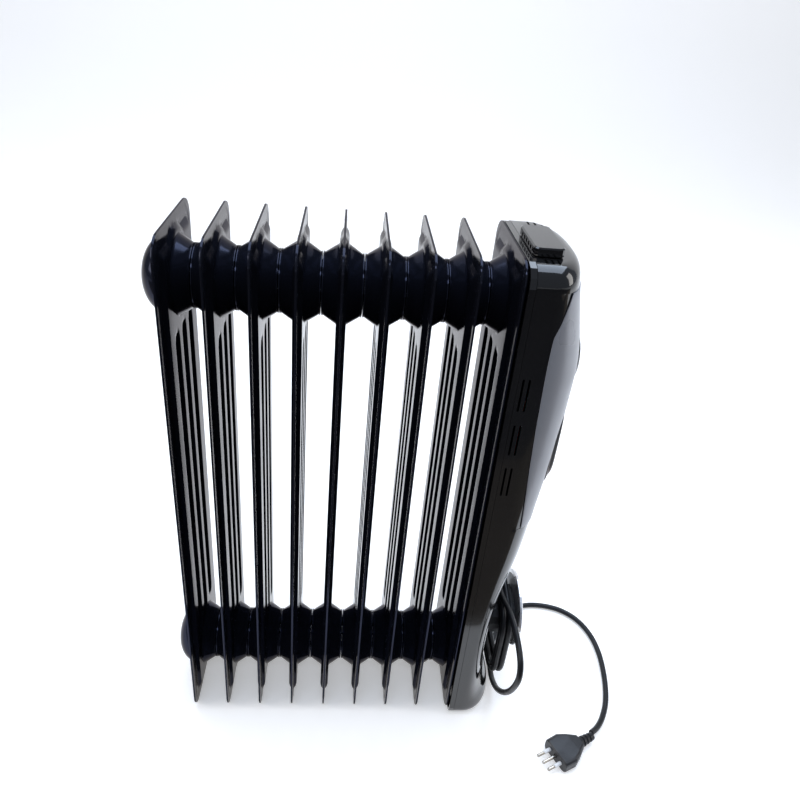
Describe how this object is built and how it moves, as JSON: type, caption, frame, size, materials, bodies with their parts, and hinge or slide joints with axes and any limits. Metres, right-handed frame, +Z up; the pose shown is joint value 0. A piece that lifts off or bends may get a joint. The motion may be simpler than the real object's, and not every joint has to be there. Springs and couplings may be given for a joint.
{
  "type": "oil filled radiator heater",
  "caption": "Oil filled column radiator with a control housing, thermostat dial, rocker switches and a cord reel with its cord and plug.",
  "frame": {"origin": "centre of the body's footprint on the floor, without the cord", "axes": "+X along the row of fins towards the control housing, +Y across the fins, +Z up"},
  "size_m": [0.5571, 0.2893, 0.5888],
  "materials": {
    "enamel": "gloss",
    "gloss": "gloss",
    "panel": "gloss",
    "matt": "matt",
    "silver": "polished",
    "grey": "satin",
    "steel": "satin",
    "ceramic": "matt",
    "white": "satin",
    "amber": "gloss",
    "cord": "matt",
    "lead": "satin"
  },
  "bodies": {
    "heater": {"base_screw_1": "steel", "base_screw_2": "steel", "base_screw_3": "steel", "base_screw_4": "steel", "bottom_cover": "matt", "control_console": "gloss", "control_lead": "lead", "cord_boot": "cord", "cord_gland": "matt", "cord_hank": "cord", "cord_lead_in": "cord", "cord_tail": "cord", "element_flange": "steel", "element_lead": "lead", "element_terminal_1": "steel", "element_terminal_2": "steel", "front_panel": "panel", "heating_element": "steel", "housing_shell": "gloss", "indicator_lens": "amber", "lower_header_cap": "enamel", "oil_fill_plug": "steel", "pin_sleeve_1": "white", "pin_sleeve_3": "white", "plug_body": "matt", "plug_boot": "cord", "plug_pin_1": "steel", "plug_pin_2": "steel", "plug_pin_3": "steel", "radiator_fin_1": "enamel", "radiator_fin_2": "enamel", "radiator_fin_3": "enamel", "radiator_fin_4": "enamel", "radiator_fin_5": "enamel", "radiator_fin_6": "enamel", "radiator_fin_7": "enamel", "radiator_fin_8": "enamel", "radiator_fin_9": "enamel", "rear_frame": "gloss", "reel_disc": "grey", "reel_hub": "matt", "reel_ring": "silver", "reel_screw": "steel", "switch_body_1": "matt", "switch_body_2": "matt", "terminal_block": "white", "thermal_cutout": "ceramic", "thermostat_body": "ceramic", "tip_over_body": "white", "top_vent_cap": "gloss", "upper_closing_plate": "steel", "upper_header_cap": "enamel"},
    "thermostat_dial": {"thermostat_knob": "gloss", "thermostat_shaft": "steel"},
    "rocker_1": {"rocker_1": "matt"},
    "rocker_2": {"rocker_2": "matt"},
    "tip_over_pendulum": {"tip_over_pendulum": "steel"}
  },
  "joints": [
    {"name": "thermostat_turn", "type": "hinge", "parent": "heater", "child": "thermostat_dial", "pos_m": [0.19195, 0, 0.469], "axis": [1, 0, 0], "range_deg": [-270, 0]},
    {"name": "rocker_1_press", "type": "hinge", "parent": "heater", "child": "rocker_1", "pos_m": [0.19785, -0.018, 0.38], "axis": [0, 1, 0], "range_deg": [-12, 0]},
    {"name": "rocker_2_press", "type": "hinge", "parent": "heater", "child": "rocker_2", "pos_m": [0.19785, 0.018, 0.38], "axis": [0, 1, 0], "range_deg": [-12, 0]},
    {"name": "tip_over_swing", "type": "hinge", "parent": "heater", "child": "tip_over_pendulum", "pos_m": [0.14895, 0.045, 0.23], "axis": [0, 1, 0], "range_deg": [-12, 12]}
  ]
}
